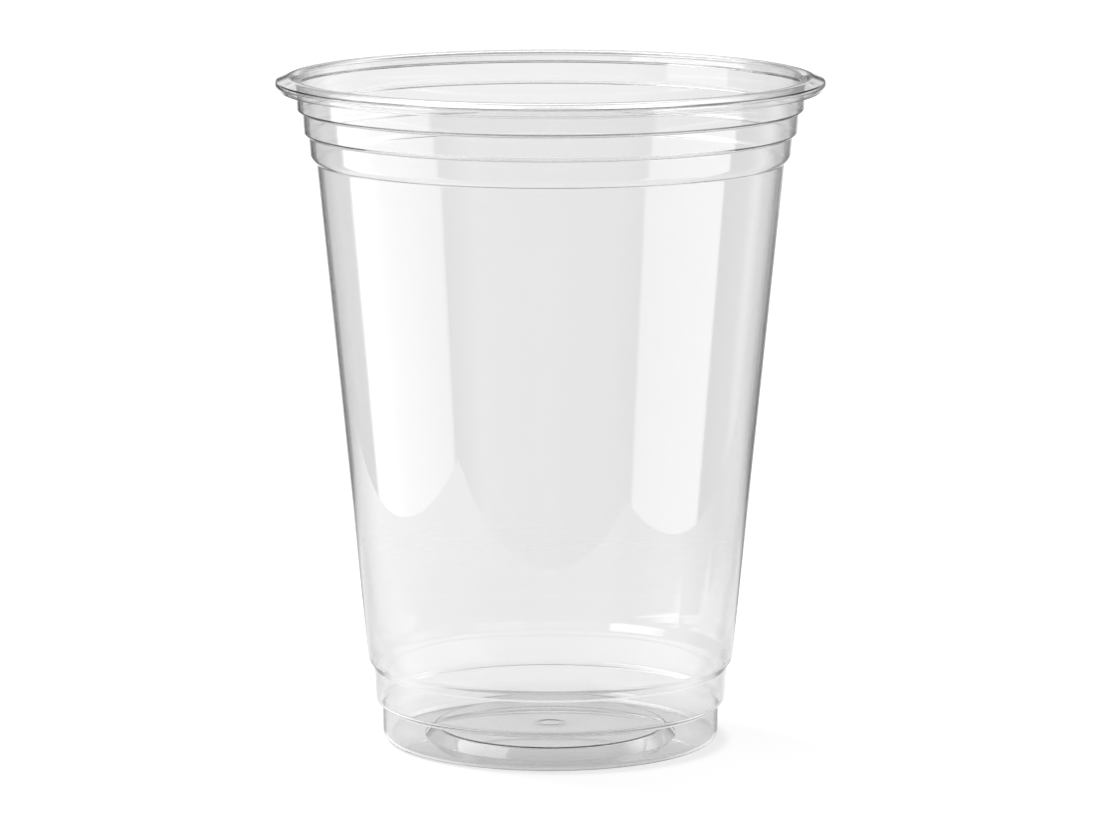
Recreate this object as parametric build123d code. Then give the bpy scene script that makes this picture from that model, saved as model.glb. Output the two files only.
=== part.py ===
from build123d import *
from collections import namedtuple
import os

# A clear cold-drink cup, formed in one piece from a heated plastic sheet.
# Sizes are real, in millimetres. Height zero is the surface it stands on,
# and the cup is round about the vertical axis through the origin.

# Overall sizes
cup_height = 119.95
lip_radius = 49.0
heel_radius = 30.2

# Film thickness. The sheet is drawn furthest, and so is thinnest, in the tall wall.
lip_film = 0.42
collar_film = 0.34
wall_film = 0.26
skirt_film = 0.30
base_film = 0.42

# Foot: a flat ring inside the rounded heel, and a flat disc pushed up inside the ring
heel_bend = 1.5
foot_ring_width = 7.68
foot_ring_bend = 0.45
push_height = 1.95
push_slope_width = 1.88
push_bend = 0.46

# Small raised mark at the centre of the disc
mark_radius = 3.1
mark_height = 0.08
mark_slope_width = 1.2
mark_bend = 2.0

# Skirt: a base band and a lower band, below the step that starts the tall wall.
# A step goes out and up, and the bend at its outer corner is a share of its way out.
base_band_height = 6.5
base_band_flare = 0.09
lower_step_out = 1.12
lower_step_up = 0.6
lower_bend_share = 0.82
lower_band_height = 6.0
lower_band_flare = 0.34
wall_step_out = 1.05
wall_step_up = 1.7
wall_bend_share = 1.74

# Collar: a stacking band, a middle band and the neck, each one step further out
stack_step_out = 1.04
stack_step_up = 0.77
stack_bend_share = 2.0
stack_band_height = 4.0
stack_band_flare = 0.33
middle_step_out = 0.84
middle_step_up = 0.5
middle_bend_share = 0.54
middle_band_height = 3.83
middle_band_flare = 0.26
neck_step_out = 0.94
neck_step_up = 0.32
neck_bend_share = 0.4
neck_height = 5.8
neck_flare = 0.2

# Bend at the inner corner of each step, softer at both ends of the tall wall
step_bend = 0.42
wall_end_bend = 0.65

# Lip: rolled outward and down from a flat crest, with its edge turned back under
lip_overhang = 3.7
lip_crest_width = 1.3
lip_crest_bend_share = 0.95
lip_shoulder_drop = 0.73
lip_drop = 2.5
lip_tuck = 0.6
lip_return = 1.2
lip_bend_share = 0.3

# The tall wall fills the space that the skirt and the collar leave
skirt_height = base_band_height + lower_step_up + lower_band_height + wall_step_up
skirt_width = base_band_flare + lower_step_out + lower_band_flare + wall_step_out
collar_steps_up = stack_step_up + middle_step_up + neck_step_up
collar_height = collar_steps_up + stack_band_height + middle_band_height + neck_height
collar_steps_out = stack_step_out + middle_step_out + neck_step_out
collar_width = collar_steps_out + stack_band_flare + middle_band_flare + neck_flare
wall_height = cup_height - skirt_height - collar_height
wall_flare = lip_radius - lip_overhang - collar_width - heel_radius - skirt_width

# A corner of the outside skin: its place, its bend, and the film's thickness there
Station = namedtuple("Station", ["radius", "height", "bend", "film"])


def step(below, out, up, bend_share, film):
    """Outer corner of a step that leaves the band below."""
    return Station(below.radius + out, below.height + up, out * bend_share, film)


def band_top(bottom, height, flare, bend, film):
    """Top of a band, where the next step starts."""
    return Station(bottom.radius + flare, bottom.height + height, bend, film)


def foot_stations():
    """Underside from the axis out to the heel."""
    ring_radius = heel_radius - foot_ring_width
    mark_level = push_height + mark_height
    return [
        Station(0, mark_level, 0, base_film),
        Station(mark_radius - mark_slope_width, mark_level, mark_bend, base_film),
        Station(mark_radius, push_height, mark_bend, base_film),
        Station(ring_radius - push_slope_width, push_height, push_bend, base_film),
        Station(ring_radius, 0, foot_ring_bend, base_film),
        Station(heel_radius, 0, heel_bend, base_film),
    ]


def skirt_stations(heel):
    """Base band and lower band, from the heel up."""
    base_top = band_top(heel, base_band_height, base_band_flare, step_bend, skirt_film)
    lower_bottom = step(base_top, lower_step_out, lower_step_up, lower_bend_share, skirt_film)
    lower_top = band_top(lower_bottom, lower_band_height, lower_band_flare, wall_end_bend, skirt_film)
    return [base_top, lower_bottom, lower_top]


def wall_stations(skirt_top):
    """Tall wall, which widens evenly up to the collar."""
    wall_bottom = step(skirt_top, wall_step_out, wall_step_up, wall_bend_share, wall_film)
    return [wall_bottom, band_top(wall_bottom, wall_height, wall_flare, wall_end_bend, wall_film)]


def collar_stations(wall_top):
    """Stacking band, middle band and the foot of the neck."""
    stack_bottom = step(wall_top, stack_step_out, stack_step_up, stack_bend_share, collar_film)
    stack_top = band_top(stack_bottom, stack_band_height, stack_band_flare, step_bend, collar_film)
    middle_bottom = step(stack_top, middle_step_out, middle_step_up, middle_bend_share, collar_film)
    middle_top = band_top(middle_bottom, middle_band_height, middle_band_flare, step_bend, collar_film)
    neck_bottom = step(middle_top, neck_step_out, neck_step_up, neck_bend_share, collar_film)
    return [stack_bottom, stack_top, middle_bottom, middle_top, neck_bottom]


def lip_stations():
    """Hidden side of the rolled lip, from the neck's top round to the turned edge.

    Its bends are one film tighter than those of the side that shows.
    """
    neck_top_radius = lip_radius - lip_overhang
    crest_level = cup_height - lip_film
    bottom_level = cup_height - lip_drop + lip_film
    crest_bend = lip_crest_width * lip_crest_bend_share
    side_bend = (lip_drop - lip_shoulder_drop) * lip_bend_share
    hidden_side_bend = max(side_bend - lip_film, 0)
    hidden_radius = lip_radius - lip_film
    edge_radius = lip_radius - lip_tuck - lip_return
    return [
        Station(neck_top_radius, crest_level, max(crest_bend - lip_film, 0), lip_film),
        Station(neck_top_radius + lip_crest_width, crest_level, crest_bend, lip_film),
        Station(hidden_radius, crest_level - lip_shoulder_drop, hidden_side_bend, lip_film),
        Station(hidden_radius - lip_tuck, bottom_level, hidden_side_bend, lip_film),
        Station(edge_radius, bottom_level, 0, lip_film),
    ]


def outside_stations():
    """The outside skin, from the axis under the foot to the lip's turned edge."""
    stations = foot_stations()
    stations += skirt_stations(stations[-1])
    stations += wall_stations(stations[-1])
    stations += collar_stations(stations[-1])
    return stations + lip_stations()


def place(station):
    """Place of a station in the section, with radius as X and height as Y."""
    return Vector(station.radius, station.height)


def inside_station(before, station, after):
    """Corner of the inside skin, one film in from the outside skin's corner."""
    incoming = (place(station) - place(before)).normalized()
    outgoing = (place(after) - place(station)).normalized()
    inward = Vector(-incoming.Y, incoming.X)
    inward_after = Vector(-outgoing.Y, outgoing.X)
    across = (inward + inward_after).normalized()
    corner = place(station) + across * (station.film / across.dot(inward))
    turns_inward = incoming.cross(outgoing).Z > 0
    bend = station.bend - station.film if turns_inward else station.bend + station.film
    return Station(corner.X, corner.Y, max(bend, 0), station.film)


def cup_section():
    """Half section of the whole cup: outside skin, turned edge, inside skin and axis."""
    outside = outside_stations()
    neighbours = zip(outside, outside[1:], outside[2:])
    inside = [inside_station(before, station, after) for before, station, after in neighbours]
    centre, edge = outside[0], outside[-1]
    centre_top = centre._replace(height=centre.height + base_film)
    edge_bottom = edge._replace(height=edge.height - lip_film)
    corners = outside + [edge_bottom] + inside[::-1] + [centre_top]
    places = [place(corner) for corner in corners]
    bends = [corner.bend for corner in corners]
    outline = FilletPolyline(*places, radius=bends, close=True)
    return make_face(Plane.XZ * outline)


def cup():
    """The cup turned about its vertical axis: one thin solid, open at the top."""
    return revolve(cup_section(), axis=Axis.Z)


os.makedirs("parts", exist_ok=True)
export_step(cup(), "parts/cup.step")
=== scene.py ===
import math

import bpy
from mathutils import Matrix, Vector


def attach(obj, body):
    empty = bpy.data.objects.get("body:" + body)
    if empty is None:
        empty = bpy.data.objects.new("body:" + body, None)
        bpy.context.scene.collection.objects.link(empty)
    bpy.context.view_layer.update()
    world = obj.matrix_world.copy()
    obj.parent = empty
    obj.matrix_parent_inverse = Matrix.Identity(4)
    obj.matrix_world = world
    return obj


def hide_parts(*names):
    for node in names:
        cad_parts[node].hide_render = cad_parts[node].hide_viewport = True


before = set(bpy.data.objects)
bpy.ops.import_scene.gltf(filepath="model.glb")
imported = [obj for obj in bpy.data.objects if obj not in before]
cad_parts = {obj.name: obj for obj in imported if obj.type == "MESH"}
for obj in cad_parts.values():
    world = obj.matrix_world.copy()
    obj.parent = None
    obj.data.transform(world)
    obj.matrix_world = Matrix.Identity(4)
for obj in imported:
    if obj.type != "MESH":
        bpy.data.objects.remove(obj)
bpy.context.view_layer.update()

# Lengths are in metres, and the cup stands at the origin.

# Camera, in front of the cup along -Y
CAMERA_DISTANCE = 1.0
CAMERA_HEIGHT = 0.2231
CAMERA_SIDE = -0.00007
CAMERA_NEAREST = 0.01
AIM_HEIGHT = 0.05923
FOCAL_PIXELS = 5650.3
PHOTO_WIDTH_PIXELS = 1100
SENSOR_WIDTH_MM = 36.0

# The cup's mesh: how the CAD section is read, made finer and turned
SEAM_WIDTH = 1e-7
SEAM_DIGITS = 7
STRAIGHT_TURN = math.radians(0.5)
LARGEST_BEND = math.radians(6)
SHARP_TURN = math.radians(50)
CORNER_GAP = 0.00001
TURNS = 160

# Clear plastic. Tints are for one pass through a skin. The base is thicker than the wall, and is
# tinted darker, partly as painted shade for the floor seen under the foot. Its tinting gives way
# to the wall's between the two heights of BASE_TOP.
PLASTIC_IOR = 1.57
WALL_TINT = 0.958
BASE_TINT_WITH_PAINTED_SHADE = 0.87
WALL_SHADOW = 0.93
BASE_SHADOW = 0.80
BASE_TOP = (0.0025, 0.004)
RIPPLE_SCALE = 55.0
RIPPLE_DETAIL = 2.0
RIPPLE_STRETCH = 0.35
RIPPLE_HEIGHT = 0.000012
RIPPLE_RANGE = (0.3, 0.7)
RIPPLE_TINT = 0.005
HAZE_SCALE = 165.0
HAZE_DETAIL = 3.0
HAZE_RANGE = (0.45, 0.75)
SMOOTHEST = 0.0
ROUGHEST = 0.012

# Studio that the cup mirrors. Azimuths are degrees from the camera's side, with the right side
# positive. A pair is an angle and the brightness there, where 1 is white.
BRIGHTEST = 3.0
SOFT_END = 0.5
LEFT_BOX = [
    (-118.5, 0), (-117.0, 1.9), (-100, 2.0), (-80, 1.85), (-62, 1.5), (-56.5, 1.4), (-55.5, 0),
]
LEFT_BOX_HEIGHTS = (-40, -5)
LEFT_EDGE = 1.8
LEFT_EDGE_AZIMUTHS = (-91, -56)
LEFT_EDGE_HEIGHTS = (-5, -3.2)
RIGHT_BOX = [(47.5, 0), (48.5, 1.3), (60, 1.5), (75, 1.75), (95.5, 1.8), (97, 0)]
RIGHT_BOX_HEIGHTS = (-40, -8)
TOP_LIGHT = 3.0
TOP_LIGHT_AZIMUTHS = (-136, -50)
TOP_LIGHT_HEIGHTS = (37, 64)

# The room by azimuth, and its share by elevation behind the cup and in front of it
ROOM = [
    (-180, 1.0), (-168, 1.0), (-164, 0.2), (-160, 0.0), (-152, 0.1), (-149, 0.5), (-130, 0.45),
    (-121, 0.1), (-54, 0.1), (-48, 0.25), (-38, 0.65), (-25, 0.5), (0, 0.4), (25, 0.35),
    (47, 0.25), (95, 0.2), (108, 0.6), (115, 0.8), (123, 1.1), (129, 0.9), (132, 0.7),
    (145, 0.62), (151, 0.35), (154, 0.25), (161, 0.2), (170, 0.8), (180, 1.0),
]
BACK_HEIGHTS = [
    (-90, 1.0), (0.5, 1.0), (2.5, 0.1), (5.5, 0.1), (8, 0.9), (13, 0.9), (16, 0.5), (26, 0.5),
    (29, 1.3), (33, 2.0), (37, 2.7), (44, 2.8), (47, 1.5), (50, 0.4), (53, 0.0), (90, 0.0),
]
FRONT_HEIGHTS = [
    (-90, 1.0), (-14, 1.0), (-10, 0.3), (7, 0.2), (11, 0.9), (15, 0.9), (20, 0.1),
    (46, 0.1), (51, 0.8), (58, 2.8), (63, 2.8), (70, 0.5), (75, 0.0), (90, 0.0),
]
FRONT_TO_BACK = (-0.2, 0.2)

# The small stand that the cup mirrors, on the floor: a painted glow, lighter and darker by azimuth
# about the cup, in place of a lit stand's light and shade. Its sides slant by a share of the way
# back, and its back edge is soft.
STAND_PAINTED_GLOW = [
    (-180, 0.8), (-170, 0.7), (-160, 0.3), (-145, 0.95), (-130, 0.8), (-115, 1.0),
    (-105, 0.95), (-92, 1.1), (-80, 1.25), (-60, 1.05), (-41, 0.9), (-20, 0.7), (0, 0.65),
    (41, 0.65), (51, 0.8), (60, 0.95), (70, 1.05), (80, 1.0), (90, 0.8), (110, 0.8),
    (130, 0.9), (145, 0.9), (160, 0.3), (170, 0.7), (180, 0.8),
]
STAND_FRONT = -0.1265
STAND_BACK = (0.13, 0.21)
STAND_LEFT = -0.166
STAND_LEFT_SLANT = 0.19
STAND_RIGHT = 0.165
STAND_RIGHT_SLANT = 0.467

# Floor, and the plain light on it
FLOOR_HALF_SIZE = 3.0
FLOOR_DROP = 0.00002
FLOOR_IN_GLASS = 0.87
GLOW = 0.25
FILL = 0.2
KEY_LEVEL = 0.7
KEY_TOWARD = (-0.9, 0.75, 1.5)
KEY_ELEVATION = math.radians(52)
KEY_WIDTH = math.radians(25)
WHITE = (1, 1, 1, 1)

BOUNCES = 32
MIRROR_BOUNCES = 16


class Nodes:
    """Adds nodes to a node tree and links them, with short calls."""

    def __init__(self, tree):
        self.tree = tree
        tree.nodes.clear()

    def add(self, kind, **settings):
        node = self.tree.nodes.new(kind)
        for name, value in settings.items():
            setattr(node, name, value)
        return node

    def link(self, source, target):
        self.tree.links.new(source, target)

    def feed(self, socket, value):
        """Links a socket to another node's output, or gives it a number."""
        if isinstance(value, bpy.types.NodeSocket):
            self.link(value, socket)
        else:
            socket.default_value = value

    def math(self, operation, first, second=0.0, clamp=False):
        node = self.add("ShaderNodeMath", operation=operation, use_clamp=clamp)
        self.feed(node.inputs[0], first)
        self.feed(node.inputs[1], second)
        return node.outputs[0]

    def opposite(self, share):
        """1 where the share is 0, and 0 where it is 1."""
        return self.math("SUBTRACT", 1.0, share)

    def remap(self, value, low, high, new_low, new_high):
        """Value taken from one range to another, held at the ends."""
        node = self.add("ShaderNodeMapRange")
        self.feed(node.inputs["Value"], value)
        self.feed(node.inputs["From Min"], low)
        self.feed(node.inputs["From Max"], high)
        self.feed(node.inputs["To Min"], new_low)
        self.feed(node.inputs["To Max"], new_high)
        return node.outputs["Result"]

    def split(self, vector):
        """The vector's X, Y and Z."""
        node = self.add("ShaderNodeSeparateXYZ")
        self.link(vector, node.inputs[0])
        return node.outputs["X"], node.outputs["Y"], node.outputs["Z"]

    def noise(self, place, scale, detail):
        """Soft noise, about 0.5 on average."""
        node = self.add("ShaderNodeTexNoise")
        self.link(place, node.inputs["Vector"])
        node.inputs["Scale"].default_value = scale
        node.inputs["Detail"].default_value = detail
        return node.outputs["Fac"]

    def blend(self, share, first, second):
        """Shader that goes from the first to the second."""
        node = self.add("ShaderNodeMixShader")
        self.feed(node.inputs[0], share)
        self.link(first, node.inputs[1])
        self.link(second, node.inputs[2])
        return node.outputs[0]


def add_object(name, data):
    """New object in the scene."""
    new = bpy.data.objects.new(name, data)
    bpy.context.scene.collection.objects.link(new)
    return new


def new_material(name):
    """New material, and its empty node tree."""
    material = bpy.data.materials.new(name)
    material.use_nodes = True
    return material, Nodes(material.node_tree)


def section_chain(mesh):
    """The cup's half section as (radius, height), in order, read from the CAD mesh's seam."""
    seam = {}
    for vertex in mesh.vertices:
        x, y, z = vertex.co
        if abs(y) < SEAM_WIDTH and x > 0:
            seam[vertex.index] = (round(x, SEAM_DIGITS), round(z, SEAM_DIGITS))
    neighbours = {}
    for edge in mesh.edges:
        first, second = (seam.get(index) for index in edge.vertices)
        if first is None or second is None or first == second:
            continue
        neighbours.setdefault(first, set()).add(second)
        neighbours.setdefault(second, set()).add(first)
    ends = [place for place, near in neighbours.items() if len(near) == 1]
    chain = [min(ends, key=lambda place: place[1])]
    while True:
        onward = [place for place in neighbours[chain[-1]] if place not in chain[-2:]]
        if not onward:
            return chain
        chain.append(onward[0])


def direction_angle(first, second):
    """Angle of the way from one place of the section to another."""
    return math.atan2(second[1] - first[1], second[0] - first[0])


def turn_between(first, second):
    """Smallest turn from one angle to another."""
    return (second - first + math.pi) % (2 * math.pi) - math.pi


def moved(place, angle, distance):
    """A place of the section, moved in a direction."""
    return place[0] + math.cos(angle) * distance, place[1] + math.sin(angle) * distance


def bends_only(chain):
    """The section without the places along its straight runs."""
    kept = [chain[0]]
    for before, place, after in zip(chain, chain[1:], chain[2:]):
        turn = turn_between(direction_angle(before, place), direction_angle(place, after))
        if abs(turn) > STRAIGHT_TURN:
            kept.append(place)
    kept.append(chain[-1])
    return kept


def skin_angles(places):
    """Angles of the skin where each run of the section leaves and where it arrives."""
    runs = [(direction_angle(a, b), math.dist(a, b)) for a, b in zip(places, places[1:])]
    leaving = [runs[0][0]]
    arriving = []
    for (angle, length), (next_angle, next_length) in zip(runs, runs[1:]):
        turn = turn_between(angle, next_angle)
        if abs(turn) > SHARP_TURN:
            arriving.append(angle)
            leaving.append(next_angle)
        else:
            shared = angle + turn / (1 + (length / next_length) ** 2)
            arriving.append(shared)
            leaving.append(shared)
    arriving.append(runs[-1][0])
    return leaving, arriving


def bent_places(first, second, start, end):
    """Places from the first one to just before the second, on a curve with these end angles."""
    reach = math.dist(first, second)
    bend = turn_between(start, end)
    count = max(1, math.ceil(abs(bend) / LARGEST_BEND))
    places = []
    for number in range(count):
        share = number / count
        toward = share * share * (3 - 2 * share)
        leave = share * (1 - share) ** 2 * reach
        arrive = -share * share * (1 - share) * reach
        out = (second[0] - first[0]) * toward
        up = (second[1] - first[1]) * toward
        radius = first[0] + out + math.cos(start) * leave + math.cos(end) * arrive
        height = first[1] + up + math.sin(start) * leave + math.sin(end) * arrive
        places.append((radius, height, start + bend * share))
    return places


def smooth_section(chain):
    """The section as (radius, height, angle of the skin), with its bends made finer.

    At a sharp corner the angle changes across a tiny gap, which keeps the edge crisp.
    """
    places = bends_only(chain)
    leaving, arriving = skin_angles(places)
    section = []
    for number, (start, end) in enumerate(zip(leaving, arriving)):
        corner = places[number + 1]
        section += bent_places(places[number], corner, start, end)
        is_last = number + 1 == len(leaving)
        onward = end if is_last else leaving[number + 1]
        if abs(turn_between(end, onward)) > SHARP_TURN:
            section.append((*moved(corner, end, -CORNER_GAP), end))
            places[number + 1] = moved(corner, onward, CORNER_GAP)
    section.append((*places[-1], arriving[-1]))
    return section


def ring_faces(ring_count):
    """Faces between the rings, with a fan at each end about the first and the last vertex."""
    last_ring = 1 + (ring_count - 1) * TURNS
    last_vertex = last_ring + TURNS
    faces = []
    for turn in range(TURNS):
        after = (turn + 1) % TURNS
        faces.append((0, 1 + after, 1 + turn))
        for low in range(1, last_ring, TURNS):
            high = low + TURNS
            faces.append((low + turn, low + after, high + after, high + turn))
        faces.append((last_ring + turn, last_ring + after, last_vertex))
    return faces


def turned_cup(node):
    """The cup as one smooth mesh, turned from the CAD node's own section."""
    section = smooth_section(section_chain(node.data))
    places = [(0.0, 0.0, section[0][1])]
    normals = [(0.0, 0.0, -1.0)]
    for radius, height, angle in section:
        outward, upward = math.sin(angle), -math.cos(angle)
        for turn in range(TURNS):
            around = 2 * math.pi * turn / TURNS
            places.append((radius * math.cos(around), radius * math.sin(around), height))
            normals.append((outward * math.cos(around), outward * math.sin(around), upward))
    places.append((0.0, 0.0, section[-1][1]))
    normals.append((0.0, 0.0, 1.0))
    mesh = bpy.data.meshes.new("cup_turned")
    mesh.from_pydata(places, [], ring_faces(len(section)))
    for face in mesh.polygons:
        face.use_smooth = True
    mesh.normals_split_custom_set_from_vertices(normals)
    mesh.update()
    return mesh


def clear_plastic():
    """Thin clear plastic: glossy, with faint ripples from drawing, and see-through to lamps."""
    material, nodes = new_material("clear_plastic")
    coordinates = nodes.add("ShaderNodeTexCoord").outputs["Object"]
    height = nodes.split(coordinates)[2]
    above_base = nodes.remap(height, *BASE_TOP, 0, 1)
    stretched = nodes.add("ShaderNodeMapping")
    nodes.link(coordinates, stretched.inputs["Vector"])
    stretched.inputs["Scale"].default_value = (1.0, 1.0, RIPPLE_STRETCH)
    ripples = nodes.noise(stretched.outputs[0], RIPPLE_SCALE, RIPPLE_DETAIL)
    haze = nodes.noise(coordinates, HAZE_SCALE, HAZE_DETAIL)
    # Darker at the base: thicker plastic, and painted shade for the floor seen under the foot
    tint_and_painted_shade = nodes.remap(above_base, 0, 1, BASE_TINT_WITH_PAINTED_SHADE, WALL_TINT)
    change = nodes.remap(ripples, *RIPPLE_RANGE, -RIPPLE_TINT, RIPPLE_TINT)
    roughness = nodes.remap(haze, *HAZE_RANGE, SMOOTHEST, ROUGHEST)
    bump = nodes.add("ShaderNodeBump")
    bump.inputs["Distance"].default_value = RIPPLE_HEIGHT
    nodes.link(ripples, bump.inputs["Height"])
    plastic = nodes.add("ShaderNodeBsdfPrincipled")
    plastic.inputs["Transmission Weight"].default_value = 1.0
    plastic.inputs["IOR"].default_value = PLASTIC_IOR
    nodes.link(nodes.math("ADD", tint_and_painted_shade, change), plastic.inputs["Base Color"])
    nodes.link(roughness, plastic.inputs["Roughness"])
    nodes.link(bump.outputs[0], plastic.inputs["Normal"])
    passed = nodes.add("ShaderNodeBsdfTransparent")
    nodes.link(nodes.remap(above_base, 0, 1, BASE_SHADOW, WALL_SHADOW), passed.inputs["Color"])
    rays = nodes.add("ShaderNodeLightPath")
    output = nodes.add("ShaderNodeOutputMaterial")
    surface = nodes.blend(rays.outputs["Is Shadow Ray"], plastic.outputs[0], passed.outputs[0])
    nodes.link(surface, output.inputs["Surface"])
    return material


def azimuth_of(nodes, x, y):
    """Azimuth in degrees from the camera's side, with the right side positive."""
    toward_camera = nodes.math("MULTIPLY", y, -1.0)
    return nodes.math("DEGREES", nodes.math("ARCTAN2", x, toward_camera))


def brightness_ramp(nodes, angle, stops):
    """Brightness by an angle, from a list of stops in degrees."""
    node = nodes.add("ShaderNodeValToRGB")
    nodes.link(nodes.remap(angle, -180, 180, 0, 1), node.inputs["Fac"])
    elements = node.color_ramp.elements
    while len(elements) > 1:
        elements.remove(elements[-1])
    for number, (degrees, level) in enumerate(stops):
        place = (degrees + 180) / 360
        element = elements[0] if number == 0 else elements.new(place)
        element.position = place
        shade = level / BRIGHTEST
        element.color = (shade, shade, shade, 1)
    return nodes.math("MULTIPLY", node.outputs["Color"], BRIGHTEST)


def span(nodes, angle, low, high):
    """1 where the angle is between two limits, with slightly soft ends."""
    rising = nodes.remap(angle, low - SOFT_END, low + SOFT_END, 0, 1)
    falling = nodes.remap(angle, high - SOFT_END, high + SOFT_END, 1, 0)
    return nodes.math("MULTIPLY", rising, falling)


def glass_rays(nodes):
    """1 for rays that come from the cup's plastic, bent or mirrored."""
    rays = nodes.add("ShaderNodeLightPath")
    glossy, bent = rays.outputs["Is Glossy Ray"], rays.outputs["Is Transmission Ray"]
    return nodes.math("ADD", glossy, bent, clamp=True)


def mirrored_rays(nodes):
    """1 for rays that the plastic has mirrored at least once."""
    rays = nodes.add("ShaderNodeLightPath")
    return nodes.math("GREATER_THAN", rays.outputs["Glossy Depth"], 0.5)


def studio():
    """White backdrop, and for the cup's shine a dim room with softboxes.

    Seen straight through the cup from behind, the backdrop is as pale as the floor.
    """
    world = bpy.data.worlds.new("studio")
    bpy.context.scene.world = world
    world.use_nodes = True
    nodes = Nodes(world.node_tree)
    x, y, z = nodes.split(nodes.add("ShaderNodeTexCoord").outputs["Generated"])
    azimuth = azimuth_of(nodes, x, y)
    elevation = nodes.math("DEGREES", nodes.math("ARCSINE", z))
    behind = nodes.remap(y, *FRONT_TO_BACK, 0, 1)
    in_front = nodes.opposite(behind)
    back_part = nodes.math("MULTIPLY", behind, brightness_ramp(nodes, elevation, BACK_HEIGHTS))
    front_part = nodes.math("MULTIPLY", in_front, brightness_ramp(nodes, elevation, FRONT_HEIGHTS))
    share = nodes.math("ADD", back_part, front_part)
    room = nodes.math("MULTIPLY", brightness_ramp(nodes, azimuth, ROOM), share)
    left_edge = nodes.math("MULTIPLY", span(nodes, azimuth, *LEFT_EDGE_AZIMUTHS), LEFT_EDGE)
    top_light = nodes.math("MULTIPLY", span(nodes, azimuth, *TOP_LIGHT_AZIMUTHS), TOP_LIGHT)
    lights = [
        (brightness_ramp(nodes, azimuth, LEFT_BOX), LEFT_BOX_HEIGHTS),
        (brightness_ramp(nodes, azimuth, RIGHT_BOX), RIGHT_BOX_HEIGHTS),
        (left_edge, LEFT_EDGE_HEIGHTS),
        (top_light, TOP_LIGHT_HEIGHTS),
    ]
    for light, heights in lights:
        lit = nodes.math("MULTIPLY", light, span(nodes, elevation, *heights))
        room = nodes.math("ADD", room, lit)
    straight = nodes.opposite(mirrored_rays(nodes))
    from_behind = nodes.math("MULTIPLY", straight, in_front)
    in_glass = nodes.add("ShaderNodeBackground")
    nodes.link(nodes.remap(from_behind, 0, 1, room, FLOOR_IN_GLASS), in_glass.inputs["Strength"])
    rays = nodes.add("ShaderNodeLightPath")
    plain = nodes.add("ShaderNodeBackground")
    nodes.link(nodes.remap(rays.outputs["Is Camera Ray"], 0, 1, FILL, 1), plain.inputs["Strength"])
    for node in (in_glass, plain):
        node.inputs["Color"].default_value = WHITE
    output = nodes.add("ShaderNodeOutputWorld")
    backdrop = nodes.blend(glass_rays(nodes), plain.outputs[0], in_glass.outputs[0])
    nodes.link(backdrop, output.inputs["Surface"])


def on_stand(nodes, x, y, mirrored):
    """1 on the stand. Its front and sides are there only for what the cup mirrors."""
    front = nodes.math("GREATER_THAN", y, STAND_FRONT)
    left_slant = nodes.math("MULTIPLY", y, STAND_LEFT_SLANT)
    left = nodes.math("GREATER_THAN", nodes.math("ADD", x, left_slant), STAND_LEFT)
    right_slant = nodes.math("MULTIPLY", y, STAND_RIGHT_SLANT)
    right = nodes.math("LESS_THAN", nodes.math("SUBTRACT", x, right_slant), STAND_RIGHT)
    within = nodes.math("MULTIPLY", nodes.math("MULTIPLY", front, left), right)
    within = nodes.math("MAXIMUM", within, nodes.opposite(mirrored))
    return nodes.math("MULTIPLY", within, nodes.remap(y, *STAND_BACK, 1, 0))


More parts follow.
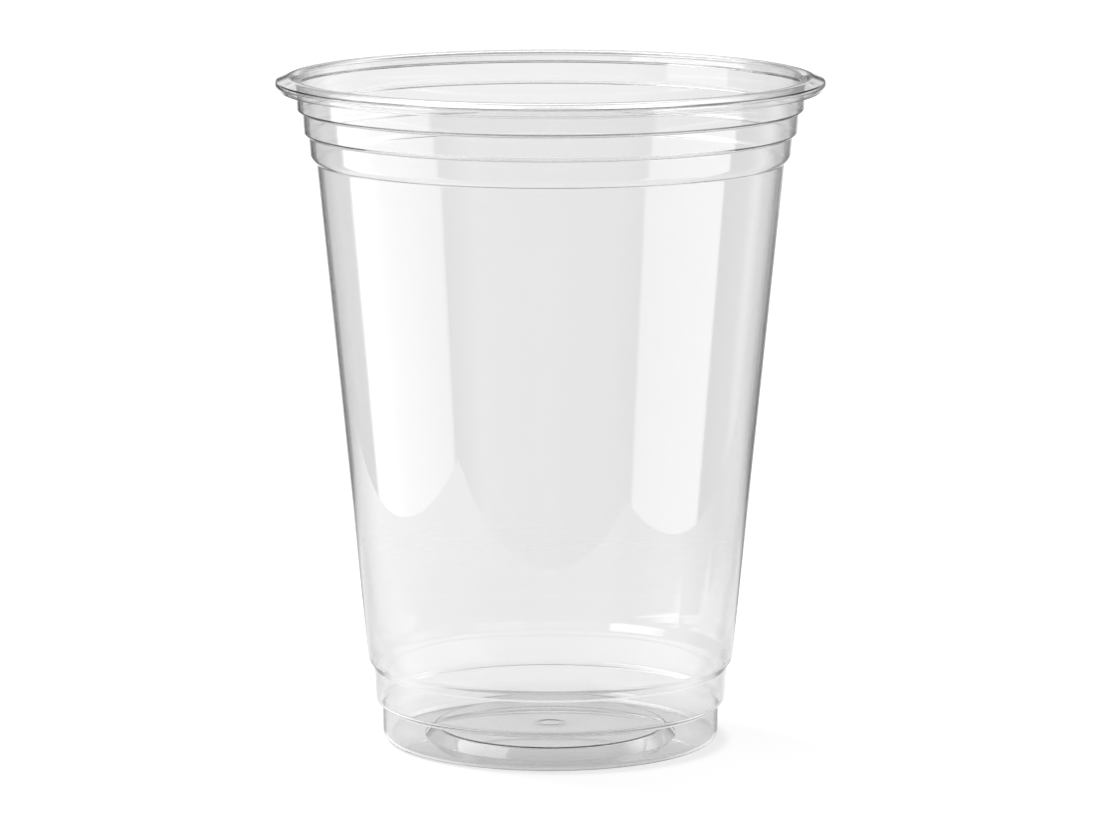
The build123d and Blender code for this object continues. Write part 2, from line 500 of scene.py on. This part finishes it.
def floor_material():
    """Matt white floor. In the cup's shine it is a small stand of painted glow, lighter and darker
    by azimuth, with the room beyond its edges.
    """
    material, nodes = new_material("floor_white")
    x, y, _ = nodes.split(nodes.add("ShaderNodeNewGeometry").outputs["Position"])
    glassy = glass_rays(nodes)
    mirrored = nodes.math("MULTIPLY", glassy, mirrored_rays(nodes))
    shade = nodes.remap(glassy, 0, 1, 1, FLOOR_IN_GLASS)
    matt = nodes.add("ShaderNodeBsdfDiffuse")
    nodes.link(shade, matt.inputs["Color"])
    glow = nodes.add("ShaderNodeEmission")
    nodes.link(nodes.math("MULTIPLY", shade, GLOW), glow.inputs["Strength"])
    lit = nodes.add("ShaderNodeAddShader")
    nodes.link(matt.outputs[0], lit.inputs[0])
    nodes.link(glow.outputs[0], lit.inputs[1])
    # The stand's painted glow: light and shade by azimuth, seen only in what the cup mirrors
    stand = nodes.add("ShaderNodeEmission")
    nodes.link(brightness_ramp(nodes, azimuth_of(nodes, x, y), STAND_PAINTED_GLOW), stand.inputs["Strength"])
    beyond = nodes.add("ShaderNodeBsdfTransparent")
    seen = nodes.blend(mirrored, lit.outputs[0], stand.outputs[0])
    off_stand = nodes.opposite(on_stand(nodes, x, y, mirrored))
    see_past = nodes.math("MULTIPLY", glassy, off_stand)
    output = nodes.add("ShaderNodeOutputMaterial")
    nodes.link(nodes.blend(see_past, seen, beyond.outputs[0]), output.inputs["Surface"])
    return material


def floor():
    half = FLOOR_HALF_SIZE
    mesh = bpy.data.meshes.new("floor")
    corners = [(-half, -half, 0), (half, -half, 0), (half, half, 0), (-half, half, 0)]
    mesh.from_pydata(corners, [], [(0, 1, 2, 3)])
    mesh.materials.append(floor_material())
    piece = add_object("floor", mesh)
    piece.location.z = -FLOOR_DROP


def key_lamp():
    """Soft lamp behind the cup on the left, for the faint shadow at the right of the foot."""
    data = bpy.data.lights.new("key", "SUN")
    data.angle = KEY_WIDTH
    data.energy = KEY_LEVEL * math.pi / math.sin(KEY_ELEVATION)
    lamp = add_object("key", data)
    lamp.rotation_euler = (-Vector(KEY_TOWARD)).to_track_quat("-Z", "Y").to_euler()
    lamp.visible_camera = False
    lamp.visible_glossy = False
    lamp.visible_transmission = False


def camera():
    data = bpy.data.cameras.new("camera")
    data.sensor_width = SENSOR_WIDTH_MM
    data.lens = FOCAL_PIXELS / PHOTO_WIDTH_PIXELS * SENSOR_WIDTH_MM
    data.clip_start = CAMERA_NEAREST
    holder = add_object("camera", data)
    holder.location = (CAMERA_SIDE, -CAMERA_DISTANCE, CAMERA_HEIGHT)
    aim = Vector((CAMERA_SIDE, 0, AIM_HEIGHT)) - holder.location
    holder.rotation_euler = aim.to_track_quat("-Z", "Y").to_euler()
    bpy.context.scene.camera = holder


camera()
floor()
key_lamp()
studio()

cup = add_object("clear_cup", turned_cup(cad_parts["cup"]))
cup.data.materials.append(clear_plastic())
cup.visible_diffuse = False
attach(cup, "root")
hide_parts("cup")

# Light crosses many skins of the clear cup
cycles = bpy.context.scene.cycles
cycles.max_bounces = BOUNCES
cycles.transmission_bounces = BOUNCES
cycles.transparent_max_bounces = BOUNCES
cycles.glossy_bounces = MIRROR_BOUNCES

bpy.context.scene.view_settings.view_transform = "Standard"
